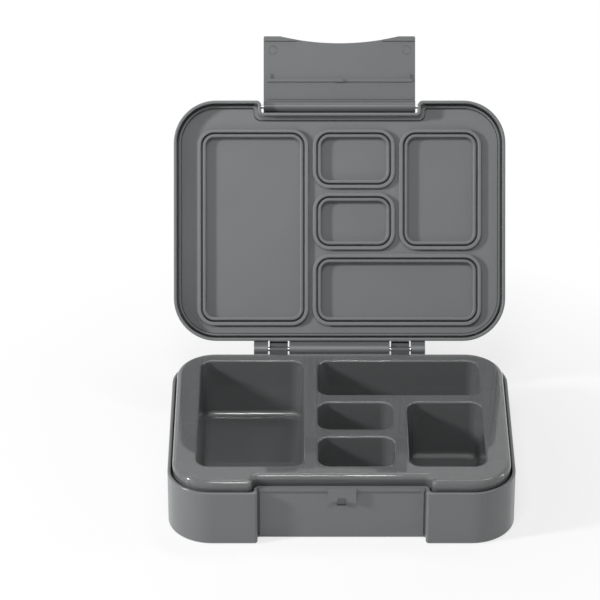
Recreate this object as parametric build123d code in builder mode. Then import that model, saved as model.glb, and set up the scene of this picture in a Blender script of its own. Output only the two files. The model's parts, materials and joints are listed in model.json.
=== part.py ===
from build123d import *
import os
from math import cos, radians, sin

os.makedirs("parts", exist_ok=True)

# Leak-proof bento lunch box, in millimetres.
# +Z is up, the latch side is -Y, and the origin is the centre of the base's underside.
# It stands open: the lid leans back on its hinge stops, with the latch flap folded out flat.
# The lid, its seal and the latch are drawn in the closed box's coordinates, on a frame that is
# swung open about the hinge, so every closed fit follows from the same values.

# overall
width = 218.0
depth = 158.0
corner_radius = 28.0
lid_open_angle = 120.0
latch_open_angle = 90.0

# base tub
base_height = 38.0
base_wall = 2.2
base_floor = 2.2
base_bottom_radius = 1.6
base_inner_radius = 2.4
rim_radius = 0.8

# latch recess in the front of the base
recess_width = 105.0
recess_depth = 7.0
mouth_radius = 1.8
inner_radius = 1.6
inner_wall_mouth_radius = 2.8
inner_wall_radius = 4.0
lip_height = 2.2
lip_reach = 1.2

# catch under the recess lip
catch_width = 18.0
catch_reach = 3.0
catch_height = 9.8
catch_leg = 2.4
catch_step = 0.9
catch_notch_width = 5.6
catch_notch_height = 3.7

guide_width = 1.6
guide_reach = 1.0

# compartment tray
tray_gap = 0.8
tray_lift_off = 0.3
tray_height = 42.0
tray_wall = 1.8
tray_draft = 1.0
tray_notch_extra = 0.6
tray_edge_radius = 3.1
tray_notch_radius = 3.6
skirt_rise = 1.0
notch_skirt_rise = 3.3
side_margin = 15.5
back_margin = 10.0
land = 9.0
left_cup_width = 67.0
middle_cup_width = 48.0
front_cup_depth = 33.0
back_cup_depth = 41.0
front_margin = 18.5
cup_corner = 8.0
cup_draft = 3.0
cup_bottom_radius = 4.4
cup_mouth_radius = 1.2
rib_thickness = 1.2
rib_depth = 30.0

# silicone seal
seal_clear = 0.3
collar_height = 3.0
collar_width = 2.4
seal_thickness = 2.7
seal_window_gap = 0.7
seal_edge = 0.6

# lid
lid_gap = 0.4
lid_wall = 2.0
lid_panel = 2.2
lid_edge_radius = 3.0
lid_notch_width = 103.0
lid_notch_depth = 8.0
lid_notch_radius = 1.2
groove_width = 1.4
ridge_width = 1.2
ledge_radius = 4.2
ring_wall = 2.2
ring_inset = 0.3
ring_height = 5.0
ring_edge = 0.7
skirt_edge = 0.6

# lid hinge
hinge_out = 5.5
hinge_rise = 4.0
hinge_rod_radius = 1.5
hinge_rod_length = 110.0
running_clear = 0.06
knuckle_radius = 3.5
knuckle_gap = 1.0
knuckle_cap = 1.0
end_play = 0.3
saddle_width = 12.0
saddle_spacing = 80.0
saddle_wall = 2.6
saddle_drop = 12.0
saddle_front_rise = 2.0
stop_reach = 4.8
stop_rise = 3.3

# latch flap and its rod
latch_width = 100.0
latch_thickness = 2.2
latch_edge = 0.6
latch_tip_gap = 1.5
latch_axis_in = 3.8
latch_axis_drop = 5.0
latch_rod_radius = 1.25
latch_rod_length = 110.0
latch_barrel_radius = 3.6
latch_heel = 4.0
tip_radius = 1.2
tip_lip_length = 22.0
tip_lip_height = 3.0
tip_lip_reach = 1.6
scoop_width = 78.0
scoop_depth = 4.5
rib_height = 1.8
rib_side = 2.0
rib_to_catch = 0.3
nib_reach = 1.5
nib_side_gap = 0.4
hook_gap = 0.5
post_width = 1.2
post_height = 3.4
band_height = 1.0
band_reach = 0.7

# heights worked out from the fits, in the closed box
tray_bottom = base_floor + tray_lift_off
tray_top = tray_bottom + tray_height
collar_bottom = tray_top + seal_clear
seal_bottom = collar_bottom + collar_height
seal_top = seal_bottom + seal_thickness
lid_floor = seal_top + seal_clear
lid_top = lid_floor + lid_panel
lid_bottom = base_height + lid_gap
hinge_y = depth / 2 + hinge_out
hinge_z = base_height + hinge_rise
latch_y = latch_axis_in - depth / 2
latch_z = lid_top - latch_axis_drop
front = -depth / 2
recess_y = front + recess_depth
saddle_front = hinge_y - hinge_rod_radius - saddle_wall

# round edges stay inside the round corners of the notch mouth that they run past
tray_notch_depth = recess_depth + tray_notch_extra
tray_mouth_radius = min(tray_edge_radius + 0.2, 0.42 * tray_notch_depth)
tray_edge = min(tray_edge_radius, 0.94 * tray_mouth_radius)
base_edge = min(base_bottom_radius, 0.9 * mouth_radius)
base_inner_edge = min(base_inner_radius, 0.35 * recess_depth)
lid_mouth_radius = min(lid_edge_radius + 0.2, 0.42 * lid_notch_depth)
lid_edge = min(lid_edge_radius, 0.94 * lid_mouth_radius)

# insets of each outline from the box's outer wall
tray_inset = base_wall + tray_gap
ridge_inset = lid_wall + groove_width
seal_inset = ridge_inset + ridge_width + seal_clear


def swing_open(frame, pivot_y, pivot_z, degrees):
    """The frame swung backwards and up about the X line at pivot_y, pivot_z."""
    turn = radians(degrees)
    along = pivot_y - pivot_y * cos(turn) - pivot_z * sin(turn)
    above = pivot_z + pivot_y * sin(turn) - pivot_z * cos(turn)
    return Plane(
        origin=frame.from_local_coords(Vector(0, along, above)),
        x_dir=frame.x_dir,
        z_dir=frame.y_dir * sin(turn) + frame.z_dir * cos(turn),
    )


def front_plane(frame, y):
    """A plane of the frame that faces its front at y, with X across and Z up."""
    return Plane(
        origin=frame.from_local_coords(Vector(0, y, 0)),
        x_dir=frame.x_dir,
        z_dir=frame.y_dir * -1,
    )


def side_plane(frame, x):
    """A plane of the frame that faces its +X side at x, with Y across and Z up."""
    return Plane(
        origin=frame.from_local_coords(Vector(x, 0, 0)),
        x_dir=frame.y_dir,
        z_dir=frame.x_dir,
    )


def outline(inset, notch_width, notch_depth, mouth, inner):
    """The box's plan moved inward by inset, with the latch notch in its front."""
    front_y = front + inset
    half_notch = notch_width / 2 + inset
    with BuildSketch() as plan:
        RectangleRounded(width - 2 * inset, depth - 2 * inset, corner_radius - inset)
        with Locations((0, front_y)):
            Rectangle(2 * half_notch, 2 * notch_depth, mode=Mode.SUBTRACT)
        at_notch = plan.vertices().filter_by(lambda v: abs(abs(v.X) - half_notch) < 0.01)
        fillet(at_notch.group_by(Axis.Y)[-1], min(inner, 0.55 * notch_depth))
        at_mouth = plan.vertices().filter_by(lambda v: abs(abs(v.X) - half_notch) < 0.01)
        fillet(at_mouth.group_by(Axis.Y)[0], min(mouth, 0.42 * notch_depth))
    return plan.sketch


def box_plan(inset, mouth=mouth_radius, inner=inner_radius):
    """The outline of the base and what stands in it."""
    return outline(inset, recess_width, recess_depth, mouth, inner)


def lid_plan(inset, mouth, inner):
    """The outline of the lid and what lies in it."""
    return outline(inset, lid_notch_width, lid_notch_depth, mouth, inner)


def tray_plan(inset, mouth, inner):
    """The outline of the tray, whose notch also clears the lid's notch wall."""
    return outline(inset, recess_width, tray_notch_depth, mouth, inner)


def upward(frame):
    """The frame's own vertical axis, for choosing faces and edges by height."""
    return Axis(frame.origin, frame.z_dir)


# the five cups: centre x, centre y, width and depth of each mouth
deck_left = tray_inset + side_margin - width / 2
deck_right = -deck_left
deck_front = front + tray_inset + front_margin
deck_back = depth / 2 - tray_inset - back_margin
left_right = deck_left + left_cup_width
middle_left = left_right + land
middle_right = middle_left + middle_cup_width
right_left = middle_right + land
front_back = deck_front + front_cup_depth
second_front = front_back + land
back_front = deck_back - back_cup_depth
second_back = back_front - land


def cup(left, right, near, far):
    return ((left + right) / 2, (near + far) / 2, right - left, far - near)


cups = [
    cup(deck_left, left_right, deck_front, deck_back),
    cup(middle_left, deck_right, back_front, deck_back),
    cup(middle_left, middle_right, second_front, second_back),
    cup(middle_left, middle_right, deck_front, front_back),
    cup(right_left, deck_right, deck_front, second_back),
]


def cup_rectangles(grow, mode=Mode.ADD):
    """One rounded rectangle per cup, grown by grow on every side."""
    for x, y, across, along in cups:
        with Locations((x, y)):
            RectangleRounded(across + 2 * grow, along + 2 * grow, cup_corner + grow, mode=mode)


closed = Plane.XY
lid_frame = swing_open(closed, hinge_y, hinge_z, lid_open_angle)
latch_frame = swing_open(lid_frame, latch_y, latch_z, latch_open_angle)

# base tub: an open shell with a recess for the latch flap, its catch and the hinge saddles
with BuildPart() as base_tub:
    with BuildSketch():
        add(box_plan(0))
    extrude(amount=base_height)
    fillet(base_tub.faces().sort_by(Axis.Z)[0].edges(), base_edge)
    with BuildSketch(Plane.XY.offset(base_floor)):
        add(box_plan(base_wall, inner_wall_mouth_radius, inner_wall_radius))
    extrude(amount=base_height, mode=Mode.SUBTRACT)
    inner_floor = base_tub.faces().filter_by(Axis.Z).filter_by_position(
        Axis.Z, base_floor - 0.01, base_floor + 0.01
    )
    fillet(inner_floor.edges(), base_inner_edge)
    fillet(base_tub.faces().sort_by(Axis.Z)[-1].edges(), rim_radius)
    # lip along the top of the recess
    with Locations((0, recess_y - lip_reach / 2 + rim_radius / 2, base_height - lip_height / 2)):
        Box(recess_width - inner_radius, lip_reach + rim_radius, lip_height)
    # catch: a block with stepped feet and a notch for the flap's nib
    bar_y = recess_y - catch_reach / 2 + rim_radius / 2
    bar_depth = catch_reach + rim_radius
    with Locations((0, bar_y, base_height - catch_height / 2)):
        Box(catch_width, bar_depth, catch_height)
    catch_bottom = base_height - catch_height
    with Locations((0, bar_y, catch_bottom)):
        Box(catch_width - 2 * catch_leg, bar_depth, 2 * catch_step, mode=Mode.SUBTRACT)
        Box(catch_notch_width, bar_depth, 2 * catch_notch_height, mode=Mode.SUBTRACT)
    # guide ribs near the ends of the recess
    guide_x = recess_width / 2 - inner_radius - guide_width / 2
    guide_z = (base_bottom_radius + base_height - lip_height) / 2
    with Locations((0, recess_y - guide_reach / 2 + rim_radius / 2, guide_z)):
        with GridLocations(2 * guide_x, 0, 2, 1):
            Box(guide_width, guide_reach + rim_radius, base_height - lip_height - base_bottom_radius)
    # hinge saddles: open upwards, with a rear arm that stops the lid
    for side in (-1, 1):
        with BuildSketch(side_plane(closed, side * saddle_spacing / 2)):
            with BuildLine():
                Polyline(
                    (depth / 2 - base_wall / 2, base_height - saddle_drop),
                    (hinge_y + hinge_rod_radius, base_height - saddle_drop / 2),
                    (hinge_y + stop_reach, hinge_z - hinge_rod_radius),
                    (hinge_y + stop_reach, hinge_z + stop_rise),
                    (hinge_y, hinge_z + stop_rise),
                    (hinge_y, hinge_z + saddle_front_rise),
                    (saddle_front, hinge_z + saddle_front_rise),
                    (saddle_front, base_height - rim_radius),
                    (depth / 2 - base_wall / 2, base_height - rim_radius),
                    close=True,
                )
            make_face()
            with Locations((hinge_y, hinge_z)):
                Circle(hinge_rod_radius + running_clear, mode=Mode.SUBTRACT)
            with Locations((hinge_y, hinge_z + stop_rise)):
                Rectangle(2 * (hinge_rod_radius + running_clear), 2 * stop_rise, mode=Mode.SUBTRACT)
        extrude(amount=saddle_width / 2, both=True)
base_tub.part.label = "base_tub"
export_step(base_tub.part, "parts/base_tub.step")


# compartment tray: a deck with a skirt, five cups hanging from it and ribs under the deck
skirt_bottom = tray_bottom + skirt_rise
deck_under = tray_top - tray_wall
skirt_height = tray_top - skirt_bottom

with BuildPart() as skirt_hollow:
    with BuildSketch(Plane.XY.offset(deck_under)):
        add(tray_plan(tray_inset + tray_wall, tray_mouth_radius, tray_notch_radius))
    extrude(amount=-skirt_height, taper=tray_draft)
    fillet(skirt_hollow.faces().sort_by(Axis.Z)[-1].edges(), tray_edge - tray_wall / 2)

with BuildPart() as cup_hollows:
    with BuildSketch(Plane.XY.offset(tray_top)):
        cup_rectangles(0)
    extrude(amount=tray_wall - tray_height, taper=cup_draft)
    cup_floors = cup_hollows.faces().group_by(Axis.Z)[0]
    fillet(cup_floors.edges(), cup_bottom_radius)

with BuildPart() as compartment_tray:
    with BuildSketch(Plane.XY.offset(tray_top)):
        add(tray_plan(tray_inset, tray_mouth_radius, tray_notch_radius))
    extrude(amount=-skirt_height, taper=tray_draft)
    fillet(compartment_tray.faces().sort_by(Axis.Z)[-1].edges(), tray_edge)
    add(skirt_hollow.part, mode=Mode.SUBTRACT)
    # the skirt ends higher in the notch, where the cups show below it
    with Locations((0, front + tray_inset, skirt_bottom)):
        Box(
            recess_width + 2 * tray_inset,
            4 * recess_depth,
            2 * (notch_skirt_rise - skirt_rise),
            mode=Mode.SUBTRACT,
        )
    with BuildSketch(Plane.XY.offset(tray_top - cup_mouth_radius)):
        cup_rectangles(tray_wall)
    extrude(amount=cup_mouth_radius - tray_height, taper=cup_draft)
    fillet(compartment_tray.faces().group_by(Axis.Z)[0].edges(), cup_bottom_radius + tray_wall / 2)
    # ribs between the skirt and the cups
    rib_z = deck_under - rib_depth / 2
    half_deck = width / 2 - tray_inset - tray_wall / 2
    half_cups = deck_right + tray_wall / 2
    with Locations((0, 0, rib_z)):
        for side in (-1, 1):
            for y in (deck_front + land, second_front + land, back_front + land):
                with Locations((side * (half_deck + half_cups) / 2, y)):
                    Box(half_deck - half_cups, rib_thickness, rib_depth)
    back_rib = (depth / 2 - tray_inset - tray_wall / 2, deck_back + tray_wall / 2)
    front_rib = (front + tray_inset + tray_notch_depth + tray_wall / 2, deck_front - tray_wall / 2)
    for outer, inner in (back_rib, front_rib):
        for x in ((deck_left + left_right) / 2, middle_left + land, right_left - land):
            with Locations((x, (outer + inner) / 2, rib_z)):
                Box(rib_thickness, abs(outer - inner), rib_depth)
    add(cup_hollows.part, mode=Mode.SUBTRACT)
    mouths = compartment_tray.faces().filter_by(Axis.Z).sort_by(Axis.Z)[-1].inner_wires()
    fillet(mouths.edges(), cup_mouth_radius)
compartment_tray.part.label = "compartment_tray"
export_step(compartment_tray.part, "parts/compartment_tray.step")

# silicone seal: a flat frame with five windows, each with a collar that presses on the tray
with BuildPart(lid_frame) as silicone_seal:
    with BuildSketch(lid_frame.offset(seal_bottom)):
        add(lid_plan(seal_inset, mouth_radius, ledge_radius))
        cup_rectangles(seal_window_gap, mode=Mode.SUBTRACT)
    extrude(amount=seal_thickness)
    with BuildSketch(lid_frame.offset(collar_bottom)):
        cup_rectangles(seal_window_gap + collar_width)
        cup_rectangles(seal_window_gap, mode=Mode.SUBTRACT)
    extrude(amount=collar_height)
    seal_up = upward(lid_frame)
    fillet(silicone_seal.faces().filter_by(seal_up).group_by(seal_up)[0].edges(), seal_edge)
    fillet(silicone_seal.faces().filter_by(seal_up).group_by(seal_up)[-1].edges(), seal_edge)
silicone_seal.part.label = "silicone_seal"
export_step(silicone_seal.part, "parts/silicone_seal.step")

# lid: a shallow shell with a groove, a ridge round the seal and a ring over each cup
lid_up = upward(lid_frame)
ring_bottom = lid_floor - ring_height

with BuildPart(lid_frame) as lid:
    with BuildSketch(lid_frame.offset(lid_bottom)):
        add(lid_plan(0, lid_mouth_radius, lid_notch_radius))
    extrude(amount=lid_top - lid_bottom)
    fillet(lid.faces().sort_by(lid_up)[-1].edges(), lid_edge)
    with BuildSketch(lid_frame.offset(lid_bottom)):
        add(lid_plan(lid_wall, mouth_radius, lid_notch_radius + lid_wall))
    extrude(amount=lid_floor - lid_bottom, mode=Mode.SUBTRACT)
    # ridge round the seal
    with BuildSketch(lid_frame.offset(collar_bottom)):
        add(lid_plan(ridge_inset, mouth_radius, ledge_radius))
        add(lid_plan(ridge_inset + ridge_width, mouth_radius, ledge_radius), mode=Mode.SUBTRACT)
    extrude(amount=lid_floor - collar_bottom)
    # solid ledge round the notch, which holds the ends of the latch rod
    with BuildSketch(lid_frame.offset(collar_bottom)):
        add(lid_plan(lid_wall / 2, mouth_radius, lid_notch_radius + lid_wall / 2))
        add(lid_plan(ridge_inset + ridge_width, mouth_radius, ledge_radius), mode=Mode.SUBTRACT)
        with Locations((0, front + ridge_inset)):
            Rectangle(
                lid_notch_width + 2 * (ridge_inset + ridge_width),
                2 * (lid_notch_depth + ridge_width),
                mode=Mode.INTERSECT,
            )
    extrude(amount=lid_floor - collar_bottom)
    # rings inside the seal's windows
    with BuildSketch(lid_frame.offset(ring_bottom)):
        cup_rectangles(-ring_inset)
        cup_rectangles(-ring_inset - ring_wall, mode=Mode.SUBTRACT)
    extrude(amount=lid_floor - ring_bottom)
    # holes for the latch rod's ends
    with Locations((0, latch_y, latch_z)):
        Cylinder(
            latch_rod_radius + running_clear,
            latch_rod_length + 2 * end_play,
            rotation=(0, 90, 0),
            mode=Mode.SUBTRACT,
        )
    # hinge knuckles: one long one between the saddles and a blind one past each saddle
    centre_length = saddle_spacing - saddle_width - 2 * knuckle_gap
    end_inner = (saddle_spacing + saddle_width) / 2 + knuckle_gap
    end_outer = hinge_rod_length / 2 + end_play + knuckle_cap
    end_x = (end_inner + end_outer) / 2
    knuckles = (
        (0, centre_length),
        (-end_x, end_outer - end_inner),
        (end_x, end_outer - end_inner),
    )
    for x, length in knuckles:
        with BuildSketch(side_plane(lid_frame, x)):
            with Locations((hinge_y, hinge_z)):
                Circle(knuckle_radius)
            with BuildLine():
                Polyline(
                    (depth / 2 - lid_wall / 2, hinge_z + knuckle_radius + hinge_out / 2),
                    (depth / 2, hinge_z + knuckle_radius + hinge_out / 2),
                    (hinge_y, hinge_z + knuckle_radius),
                    (hinge_y, hinge_z),
                    (depth / 2, hinge_z - knuckle_radius / 2),
                    (depth / 2 - lid_wall / 2, hinge_z - knuckle_radius / 2),
                    close=True,
                )
            make_face()
        extrude(amount=length / 2, both=True)
    with Locations((0, hinge_y, hinge_z)):
        Cylinder(
            hinge_rod_radius + running_clear,
            hinge_rod_length + 2 * end_play,
            rotation=(0, 90, 0),
            mode=Mode.SUBTRACT,
        )
    # soft edges on the rings and the skirt, each limited by its own wall
    level_faces = lid.faces().filter_by(lid_up).group_by(lid_up)
    fillet(level_faces[2].edges(), min(ring_edge, 0.4 * ring_wall))
    fillet(lid.faces().filter_by(lid_up).group_by(lid_up)[0].edges(), min(skirt_edge, 0.4 * lid_wall))
lid.part.label = "lid"
export_step(lid.part, "parts/lid.step")

# latch flap: a plate with a rolled barrel, a rib with a nib, and a scooped tip with short lips
tip_z = latch_tip_gap
inner_face = front + latch_thickness
rib_top = base_height - catch_height + catch_notch_height - hook_gap
rib_reach = recess_y - catch_reach - rib_to_catch - inner_face
half_rib = latch_width / 2 - rib_side

with BuildPart(latch_frame) as latch_flap:
    with BuildSketch(front_plane(latch_frame, front)) as flap_face:
        with Locations((0, (tip_z + latch_z + latch_heel) / 2)):
            Rectangle(latch_width, latch_z + latch_heel - tip_z)
        fillet(flap_face.vertices().group_by(Axis.Y)[0], tip_radius)
    extrude(amount=-latch_thickness)
    to_front = Axis(latch_frame.origin, latch_frame.y_dir * -1)
    fillet(latch_flap.faces().sort_by(to_front)[-1].edges(), latch_edge)
    # lips at the tip's two corners
    with Locations((0, inner_face + tip_lip_reach / 2, tip_z + tip_lip_height / 2)):
        with GridLocations(latch_width - tip_lip_length, 0, 2, 1):
            Box(tip_lip_length - tip_radius / 2, tip_lip_reach, tip_lip_height)
    with BuildSketch(front_plane(latch_frame, front)):
        with BuildLine():
            scoop = ThreePointArc(
                (-scoop_width / 2, tip_z), (0, tip_z + scoop_depth), (scoop_width / 2, tip_z)
            )
            Polyline(
                scoop @ 1,
                (scoop_width / 2, tip_z - tip_lip_height),
                (-scoop_width / 2, tip_z - tip_lip_height),
                scoop @ 0,
            )
        make_face()
    extrude(amount=-latch_thickness - 2 * tip_lip_reach, mode=Mode.SUBTRACT)
    # rib across the flap, its nib under the catch's notch, and a post near each end
    with Locations((0, inner_face + rib_reach / 2, rib_top - rib_height / 2)):
        Box(2 * half_rib, rib_reach, rib_height)
    with Locations((0, inner_face + (rib_reach + nib_reach) / 2, rib_top - rib_height / 2)):
        Box(catch_notch_width - 2 * nib_side_gap, rib_reach + nib_reach, rib_height)
    with Locations((0, inner_face + rib_reach / 2, rib_top - rib_height / 2 - post_height / 2)):
        with GridLocations(2 * (half_rib - rib_side), 0, 2, 1):
            Box(post_width, rib_reach, rib_height + post_height)
    # band beside the barrel
    with Locations((0, inner_face + band_reach / 2, latch_z - latch_barrel_radius - 2 * band_height)):
        Box(2 * half_rib, band_reach, band_height)
    with Locations((0, latch_y, latch_z)):
        Cylinder(latch_barrel_radius, latch_width, rotation=(0, 90, 0))
        Cylinder(
            latch_rod_radius + running_clear,
            latch_width,
            rotation=(0, 90, 0),
            mode=Mode.SUBTRACT,
        )
latch_flap.part.label = "latch_flap"
export_step(latch_flap.part, "parts/latch_flap.step")

# steel rods: one in the lid's knuckles and the base's saddles, one through the latch barrel
rods = (
    ("hinge_rod", lid_frame, hinge_y, hinge_z, hinge_rod_radius, hinge_rod_length),
    ("latch_rod", lid_frame, latch_y, latch_z, latch_rod_radius, latch_rod_length),
)
for name, frame, y, z, radius, length in rods:
    with BuildPart(frame) as rod:
        with Locations((0, y, z)):
            Cylinder(radius, length, rotation=(0, 90, 0))
    rod.part.label = name
    export_step(rod.part, f"parts/{name}.step")
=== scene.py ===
import json
import math

import bmesh
import bpy
import numpy as np
from mathutils import Matrix, Vector


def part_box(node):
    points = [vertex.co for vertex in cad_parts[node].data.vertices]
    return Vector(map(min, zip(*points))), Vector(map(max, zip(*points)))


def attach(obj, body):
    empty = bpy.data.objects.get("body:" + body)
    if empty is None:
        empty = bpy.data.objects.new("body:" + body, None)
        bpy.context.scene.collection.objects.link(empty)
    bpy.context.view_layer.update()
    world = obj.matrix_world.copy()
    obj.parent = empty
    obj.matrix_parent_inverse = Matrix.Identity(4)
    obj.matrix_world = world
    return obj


# Open bento lunch box: slate plastic shells, a smoke tray, a silicone seal and two steel rods.
# Everything is in metres, with -Y at the latch side and the floor at z = 0.

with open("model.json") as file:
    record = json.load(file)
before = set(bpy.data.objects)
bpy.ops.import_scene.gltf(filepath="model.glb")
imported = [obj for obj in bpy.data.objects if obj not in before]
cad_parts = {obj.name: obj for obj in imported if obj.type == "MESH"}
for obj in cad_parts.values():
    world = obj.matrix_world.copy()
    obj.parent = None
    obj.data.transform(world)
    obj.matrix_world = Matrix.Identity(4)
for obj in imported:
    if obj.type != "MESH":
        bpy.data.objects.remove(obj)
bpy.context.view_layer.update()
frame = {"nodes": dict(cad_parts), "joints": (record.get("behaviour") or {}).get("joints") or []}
nodes = frame["nodes"]
print("frame loaded:", ", ".join(sorted(nodes)))

millimetre = 0.001
slateGrey = (0.148, 0.155, 0.158)
white = (1.0, 1.0, 1.0, 1.0)
plasticBend = 1.49  # the refraction of the opaque shells and the seal
noiseLow, noiseHigh = 0.3, 0.7  # most noise lies between these
cloudDetail = 3.0
grainDetail = 2.0
waveDetail = 1.0

baseLow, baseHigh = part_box("base_tub")
flapLow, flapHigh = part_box("latch_flap")
boxWidth = baseHigh.x - baseLow.x
boxFront = baseLow.y


def newMaterial(name):
    material = bpy.data.materials.new(name)
    material.use_nodes = True
    tree = material.node_tree
    shader = tree.nodes["Principled BSDF"]
    return material, tree, shader


def addNode(tree, kind, inputs=None, **settings):
    node = tree.nodes.new(kind)
    for key, value in settings.items():
        setattr(node, key, value)
    for key, value in (inputs or {}).items():
        if isinstance(value, bpy.types.NodeSocket):
            tree.links.new(value, node.inputs[key])
        else:
            node.inputs[key].default_value = value
    return node


def objectPlace(tree):
    return addNode(tree, "ShaderNodeTexCoord").outputs["Object"]


def noise(tree, place, scale, detail=cloudDetail):
    inputs = {"Vector": place, "Scale": scale, "Detail": detail}
    return addNode(tree, "ShaderNodeTexNoise", inputs).outputs["Fac"]


def calc(tree, operation, a, b=0.0):
    return addNode(tree, "ShaderNodeMath", {0: a, 1: b}, operation=operation).outputs[0]


def remap(tree, value, fromLow, fromHigh, toLow, toHigh):
    inputs = {
        "Value": value,
        "From Min": fromLow,
        "From Max": fromHigh,
        "To Min": toLow,
        "To Max": toHigh,
    }
    return addNode(tree, "ShaderNodeMapRange", inputs).outputs["Result"]


def mixColours(tree, factor, first, second):
    node = addNode(tree, "ShaderNodeMix", data_type="RGBA")
    for index, value in ((0, factor), (6, first), (7, second)):
        if isinstance(value, bpy.types.NodeSocket):
            tree.links.new(value, node.inputs[index])
        else:
            node.inputs[index].default_value = value
    return node.outputs[2]


def spreadNoise(tree, value, low, high):
    return remap(tree, value, noiseLow, noiseHigh, low, high)


def shade(colour, factor):
    return (colour[0] * factor, colour[1] * factor, colour[2] * factor, 1.0)


def cloudColours(tree, cloud, colour, spread):
    # the colour drifts a little darker and lighter with the clouds
    return mixColours(tree, cloud, shade(colour, 1.0 - spread), shade(colour, 1.0 + spread))


def bump(tree, height, distance, normal=None):
    inputs = {"Height": height, "Distance": distance, "Strength": 1.0}
    if normal is not None:
        inputs["Normal"] = normal
    return addNode(tree, "ShaderNodeBump", inputs).outputs["Normal"]


satinPlastic = {
    "colour": slateGrey,
    "roughness": 0.36,
    "roughnessSpread": 0.05,
    "cloudScale": 22.0,
    "cloudSpread": 0.035,
    "grainScale": 2600.0,
    "grainDepth": 0.004 * millimetre,
    "waveScale": 16.0,
    "waveDepth": 0.006 * millimetre,
}

# the flap has the same finish in a darker colour, which is painted shade: the lamps light the flap
# more than the lid
latchPlasticShadePainted = {**satinPlastic, "colour": (0.124, 0.131, 0.133)}

siliconeFinish = {
    "colour": (0.166, 0.173, 0.176),
    "roughness": 0.58,
    "roughnessSpread": 0.08,
    "cloudScale": 35.0,
    "cloudSpread": 0.04,
    "grainScale": 3400.0,
    "grainDepth": 0.008 * millimetre,
    "waveScale": 45.0,
    "waveDepth": 0.03 * millimetre,
}


def mouldedMaterial(name, finish):
    # colour and roughness drift in soft clouds, under a fine spark-eroded grain
    # and the slow waves of moulding
    material, tree, shader = newMaterial(name)
    place = objectPlace(tree)
    cloud = noise(tree, place, finish["cloudScale"])
    colours = cloudColours(tree, cloud, finish["colour"], finish["cloudSpread"])
    tree.links.new(colours, shader.inputs["Base Color"])
    grain = noise(tree, place, finish["grainScale"], detail=grainDetail)
    low = finish["roughness"] - finish["roughnessSpread"]
    high = finish["roughness"] + finish["roughnessSpread"]
    tree.links.new(spreadNoise(tree, cloud, low, high), shader.inputs["Roughness"])
    wave = noise(tree, place, finish["waveScale"], detail=waveDetail)
    waves = bump(tree, wave, finish["waveDepth"])
    normal = bump(tree, grain, finish["grainDepth"], normal=waves)
    tree.links.new(normal, shader.inputs["Normal"])
    shader.inputs["IOR"].default_value = plasticBend
    return material


baseTub = {
    "outsideRoughness": 0.34,
    "insideRoughness": 0.12,
    "roughnessDrift": 0.03,
    "insideGrain": 0.1,  # how much of the grain is left where it is polished
    "insideFrom": 1.2 * millimetre,  # the polish starts this far in from the straight walls
    "insideAbove": 1.5 * millimetre,  # and this far up from the underside
    "edge": 0.4 * millimetre,  # the width of the change between the two finishes
}


def insideBase(tree, place, settings):
    # 0 in the outer skin of the straight walls and the underside, rising to 1 further in; it
    # measures from the straight walls alone, so the rounded corners and the recess get 1 too
    axes = addNode(tree, "ShaderNodeSeparateXYZ", {0: place})
    across = calc(tree, "ABSOLUTE", axes.outputs["X"])
    along = calc(tree, "ABSOLUTE", axes.outputs["Y"])
    fromSide = calc(tree, "SUBTRACT", boxWidth / 2 - settings["insideFrom"], across)
    fromFront = calc(tree, "SUBTRACT", -boxFront - settings["insideFrom"], along)
    aboveFloor = calc(tree, "SUBTRACT", axes.outputs["Z"], settings["insideAbove"])
    nearest = calc(tree, "MINIMUM", calc(tree, "MINIMUM", fromSide, fromFront), aboveFloor)
    return remap(tree, nearest, 0.0, settings["edge"], 0.0, 1.0)


def baseMaterial():
    # satin on the straight outer walls, polished inside, in the recess and round the corners
    material, tree, shader = newMaterial("slatePlasticBase")
    place = objectPlace(tree)
    inside = insideBase(tree, place, baseTub)
    cloud = noise(tree, place, satinPlastic["cloudScale"])
    colours = cloudColours(tree, cloud, slateGrey, satinPlastic["cloudSpread"])
    tree.links.new(colours, shader.inputs["Base Color"])
    drift = spreadNoise(tree, cloud, -baseTub["roughnessDrift"], baseTub["roughnessDrift"])
    level = remap(tree, inside, 0.0, 1.0, baseTub["outsideRoughness"], baseTub["insideRoughness"])
    tree.links.new(calc(tree, "ADD", level, drift), shader.inputs["Roughness"])
    grain = noise(tree, place, satinPlastic["grainScale"], detail=grainDetail)
    fade = remap(tree, inside, 0.0, 1.0, 1.0, baseTub["insideGrain"])
    wave = noise(tree, place, satinPlastic["waveScale"], detail=waveDetail)
    waves = bump(tree, wave, satinPlastic["waveDepth"])
    fadedGrain = calc(tree, "MULTIPLY", grain, fade)
    normal = bump(tree, fadedGrain, satinPlastic["grainDepth"], normal=waves)
    tree.links.new(normal, shader.inputs["Normal"])
    shader.inputs["IOR"].default_value = plasticBend
    return material


smokeTray = {
    "colour": (0.238, 0.247, 0.25),
    "cloudSpread": 0.05,
    "cloudScale": 18.0,
    "roughnessLow": 0.14,
    "roughnessHigh": 0.18,
    "transmission": 0.55,
    "bend": 1.12,  # its refraction is kept low, and the gloss is a coat over it
    "coat": 1.0,
    "coatRoughness": 0.03,
    "coatBend": 1.5,
    "waveScale": 14.0,
    "waveDepth": 0.004 * millimetre,
}


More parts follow.
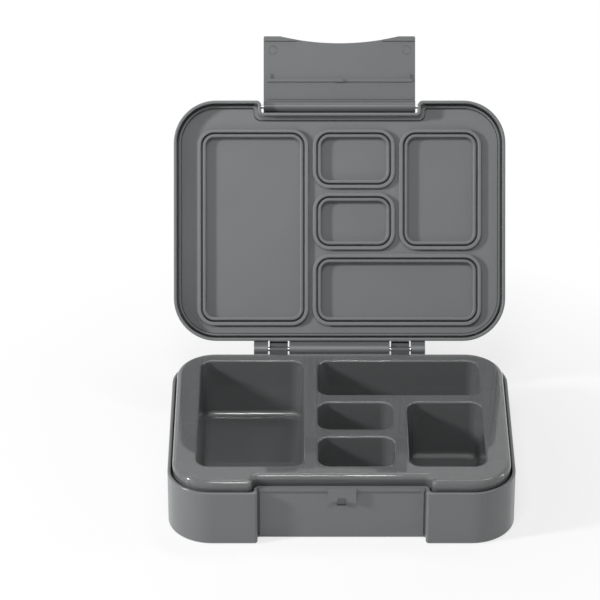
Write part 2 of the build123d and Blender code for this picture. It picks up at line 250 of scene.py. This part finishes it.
def smokeMaterial():
    # tinted clear plastic, with faint flow clouds and the slow waves of a thin moulding
    material, tree, shader = newMaterial("smokePlastic")
    place = objectPlace(tree)
    cloud = noise(tree, place, smokeTray["cloudScale"])
    colours = cloudColours(tree, cloud, smokeTray["colour"], smokeTray["cloudSpread"])
    tree.links.new(colours, shader.inputs["Base Color"])
    level = spreadNoise(tree, cloud, smokeTray["roughnessLow"], smokeTray["roughnessHigh"])
    tree.links.new(level, shader.inputs["Roughness"])
    wave = noise(tree, place, smokeTray["waveScale"], detail=waveDetail)
    tree.links.new(bump(tree, wave, smokeTray["waveDepth"]), shader.inputs["Normal"])
    shader.inputs["Transmission Weight"].default_value = smokeTray["transmission"]
    shader.inputs["IOR"].default_value = smokeTray["bend"]
    shader.inputs["Coat Weight"].default_value = smokeTray["coat"]
    shader.inputs["Coat Roughness"].default_value = smokeTray["coatRoughness"]
    shader.inputs["Coat IOR"].default_value = smokeTray["coatBend"]
    return material


steelRod = {
    "colour": (0.58, 0.58, 0.57),
    "darkest": 0.9,  # of the colour, in the drawn lines
    "palest": 1.08,
    "roughnessLow": 0.22,
    "roughnessHigh": 0.36,
    "lineScale": 900.0,
    "lineDetail": 4.0,
    "lineStretch": (0.02, 1.0, 1.0),
    "lineDepth": 0.003 * millimetre,
}


def steelMaterial():
    # drawn wire: fine lines side by side round the rod, each running along its length
    material, tree, shader = newMaterial("drawnSteel")
    place = objectPlace(tree)
    stretch = {"Vector": place, "Scale": steelRod["lineStretch"]}
    stretched = addNode(tree, "ShaderNodeMapping", stretch).outputs[0]
    lines = noise(tree, stretched, steelRod["lineScale"], detail=steelRod["lineDetail"])
    dark = shade(steelRod["colour"], steelRod["darkest"])
    pale = shade(steelRod["colour"], steelRod["palest"])
    tree.links.new(mixColours(tree, lines, dark, pale), shader.inputs["Base Color"])
    level = spreadNoise(tree, lines, steelRod["roughnessLow"], steelRod["roughnessHigh"])
    tree.links.new(level, shader.inputs["Roughness"])
    tree.links.new(bump(tree, lines, steelRod["lineDepth"]), shader.inputs["Normal"])
    shader.inputs["Metallic"].default_value = 1.0
    return material


def dress(nodeName, material):
    mesh = nodes[nodeName].data
    mesh.materials.clear()
    mesh.materials.append(material)


lidSatin = mouldedMaterial("slatePlasticLid", satinPlastic)
# the flap's material carries that painted shade in its darker colour
latchSatinShadePainted = mouldedMaterial("slatePlasticLatchShadePainted", latchPlasticShadePainted)
dress("base_tub", baseMaterial())
dress("lid", lidSatin)
dress("latch_flap", latchSatinShadePainted)
dress("silicone_seal", mouldedMaterial("mattSilicone", siliconeFinish))
dress("compartment_tray", smokeMaterial())
steel = steelMaterial()
dress("hinge_rod", steel)
dress("latch_rod", steel)
print("materials assigned")


joints = {joint["name"]: joint for joint in frame["joints"]}


def swing(joint):
    # the 4 x 4 turn about the joint's axis through its pivot, from its far limit back to rest
    pivot = Matrix.Translation(Vector(joint["pos_m"]))
    turn = math.radians(-joint["range_deg"][0])
    return pivot @ Matrix.Rotation(turn, 4, Vector(joint["axis"])) @ pivot.inverted()


# marks are placed on the closed box and carried to where the open box's pieces rest
lidOpening = swing(joints["lid_hinge"])
latchOpening = swing(joints["latch_hinge"]) @ lidOpening

mouldMarks = {
    "ringRadius": 2.7 * millimetre,
    "ringWidth": 0.6 * millimetre,
    "ringHeight": 0.25 * millimetre,
    "fromSide": 5.8 * millimetre,
    "fromTip": 9.0 * millimetre,
    "tipHeight": 1.5 * millimetre,
    "flapThickness": 2.2 * millimetre,
    "gateRadius": 2.0 * millimetre,
    "gateHeight": 0.25 * millimetre,
    "lidTop": 53.0 * millimetre,
    "weld": 0.001 * millimetre,
    "around": 96,
    "across": 16,
}


def ringSurface(radius, width, height):
    # a ring with an oval section: at angle a round it and angle t round the section, the point
    # is radius + width / 2 * cos t out from the middle and height * sin t above the face
    around = np.linspace(0.0, 2.0 * np.pi, mouldMarks["around"] + 1)
    section = np.linspace(2.0 * np.pi, 0.0, mouldMarks["across"] + 1)
    angle, t = np.meshgrid(around, section, indexing="ij")
    reach = radius + width / 2 * np.cos(t)
    return np.stack([reach * np.cos(angle), reach * np.sin(angle), height * np.sin(t)], axis=-1)


def lensSurface(radius, height):
    # a lens: at angle a round it and angle t down from its pole, the point is radius * sin t
    # out from the middle and height * cos t above the face
    around = np.linspace(0.0, 2.0 * np.pi, mouldMarks["around"] + 1)
    down = np.linspace(0.0, np.pi, mouldMarks["across"] + 1)
    angle, t = np.meshgrid(around, down, indexing="ij")
    reach = radius * np.sin(t)
    return np.stack([reach * np.cos(angle), reach * np.sin(angle), height * np.cos(t)], axis=-1)


def makeSurface(name, points, place, body, material):
    # one quad per cell of the grid, then seams and poles are merged shut
    rows, columns = points.shape[:2]
    row, column = np.meshgrid(np.arange(rows - 1), np.arange(columns - 1), indexing="ij")
    first = row * columns + column
    quads = np.stack([first, first + 1, first + columns + 1, first + columns], axis=-1)
    turn = np.array(place)
    placed = points.reshape(-1, 3) @ turn[:3, :3].T + turn[:3, 3]
    mesh = bpy.data.meshes.new(name)
    mesh.from_pydata(placed.tolist(), [], quads.reshape(-1, 4).tolist())
    shell = bmesh.new()
    shell.from_mesh(mesh)
    bmesh.ops.remove_doubles(shell, verts=shell.verts, dist=mouldMarks["weld"])
    shell.to_mesh(mesh)
    shell.free()
    mesh.shade_smooth()
    mesh.materials.append(material)
    piece = bpy.data.objects.new(name, mesh)
    bpy.context.scene.collection.objects.link(piece)
    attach(piece, body)


def facing(x, y, z, direction):
    # a place at x, y, z whose own Z points in the direction given
    return Matrix.Translation((x, y, z)) @ direction.to_track_quat("Z", "Y").to_matrix().to_4x4()


def makeMarks():
    # two ejector rings near the flap's tip, and the gate's mark on the lid's outer face
    ringX = (flapHigh.x - flapLow.x) / 2 - mouldMarks["fromSide"]
    ringY = boxFront + mouldMarks["flapThickness"]
    ringZ = mouldMarks["tipHeight"] + mouldMarks["fromTip"]
    ring = ringSurface(mouldMarks["ringRadius"], mouldMarks["ringWidth"], mouldMarks["ringHeight"])
    for side, name in ((-1, "ejector_ring_left"), (1, "ejector_ring_right")):
        place = latchOpening @ facing(side * ringX, ringY, ringZ, Vector((0, 1, 0)))
        makeSurface(name, ring, place, "latch", latchSatinShadePainted)
    gate = lensSurface(mouldMarks["gateRadius"], mouldMarks["gateHeight"])
    place = lidOpening @ facing(0, 0, mouldMarks["lidTop"], Vector((0, 0, 1)))
    makeSurface("lid_gate_mark", gate, place, "lid", lidSatin)


makeMarks()
print("mould marks made")

stage = {
    "floorSize": 6.0,
    "floorColour": (0.93, 0.93, 0.93, 1.0),
    "floorRoughness": 0.9,
    "clearNear": 0.14,  # the floor starts to turn plain white this far from the box's middle
    "clearFar": 0.3,
    "whiteNear": 0.7,  # how white it already is there
    "worldLight": 0.15,  # the strength at which the white surroundings light the box
}


def seenRays(tree):
    # 1 for rays from the camera, from gloss and through the smoke plastic, else 0
    rays = addNode(tree, "ShaderNodeLightPath").outputs
    seen = calc(tree, "MAXIMUM", rays["Is Camera Ray"], rays["Is Glossy Ray"])
    return calc(tree, "MAXIMUM", seen, rays["Is Transmission Ray"])


def floorMaterial():
    # a pale floor that keeps the shadow near the box and turns plain white further out
    material, tree, shader = newMaterial("whiteFloor")
    shader.inputs["Base Color"].default_value = stage["floorColour"]
    shader.inputs["Roughness"].default_value = stage["floorRoughness"]
    shader.inputs["Specular IOR Level"].default_value = 0.0
    place = objectPlace(tree)
    length = addNode(tree, "ShaderNodeVectorMath", {0: place}, operation="LENGTH")
    distance = length.outputs["Value"]
    fade = remap(tree, distance, stage["clearNear"], stage["clearFar"], stage["whiteNear"], 1.0)
    glow = addNode(tree, "ShaderNodeEmission", {"Color": white, "Strength": 1.0})
    mix = addNode(tree, "ShaderNodeMixShader", {0: calc(tree, "MULTIPLY", fade, seenRays(tree))})
    tree.links.new(shader.outputs[0], mix.inputs[1])
    tree.links.new(glow.outputs[0], mix.inputs[2])
    tree.links.new(mix.outputs[0], tree.nodes["Material Output"].inputs["Surface"])
    return material


def makeFloor():
    half = stage["floorSize"] / 2
    corners = [(-half, -half, 0), (half, -half, 0), (half, half, 0), (-half, half, 0)]
    mesh = bpy.data.meshes.new("floor")
    mesh.from_pydata(corners, [], [(0, 1, 2, 3)])
    floor = bpy.data.objects.new("floor", mesh)
    mesh.materials.append(floorMaterial())
    bpy.context.scene.collection.objects.link(floor)


def makeWorld():
    world = bpy.data.worlds.new("studio")
    world.use_nodes = True
    bpy.context.scene.world = world
    tree = world.node_tree
    background = tree.nodes["Background"]
    background.inputs["Color"].default_value = white
    strength = remap(tree, seenRays(tree), 0.0, 1.0, stage["worldLight"], 1.0)
    tree.links.new(strength, background.inputs["Strength"])


lamps = {
    "keyLeft": {"place": (-1.35, -0.45, 0.8), "size": (0.16, 0.24), "power": 20.0},
    "topBack": {"place": (0.3, 0.5, 1.4), "size": (1.0, 0.12), "power": 3.2},
    "rimRight": {"place": (1.2, 0.05, 0.45), "size": (0.2, 0.6), "power": 2.4},
    "stripFront": {"place": (-0.12, -0.75, 1.35), "size": (0.4, 0.08), "power": 7.0},
}
lampTarget = Vector((0, 0, 0.05))


def makeLamp(name, settings):
    lamp = bpy.data.lights.new(name, "AREA")
    lamp.shape = "RECTANGLE"
    lamp.size, lamp.size_y = settings["size"]
    lamp.energy = settings["power"]
    holder = bpy.data.objects.new(name, lamp)
    holder.location = settings["place"]
    holder.rotation_euler = (lampTarget - holder.location).to_track_quat("-Z", "Y").to_euler()
    bpy.context.scene.collection.objects.link(holder)


view = {
    "elevation": 31.0,
    "distance": 2.2,
    "target": (-0.026, 0.02, 0.1185),
    "lens": 209.0,
    "sensor": 36.0,
}


def makeCamera():
    camera = bpy.data.cameras.new("camera")
    camera.lens = view["lens"]
    camera.sensor_width = view["sensor"]
    holder = bpy.data.objects.new("camera", camera)
    tilt = math.radians(view["elevation"])
    target = Vector(view["target"])
    holder.location = target + view["distance"] * Vector((0, -math.cos(tilt), math.sin(tilt)))
    holder.rotation_euler = (math.pi / 2 - tilt, 0, 0)
    bpy.context.scene.collection.objects.link(holder)
    bpy.context.scene.camera = holder


makeFloor()
makeWorld()
for lampName, lampSettings in lamps.items():
    makeLamp(lampName, lampSettings)
makeCamera()
bpy.context.scene.view_settings.view_transform = "Standard"
print("stage, lamps and camera placed")
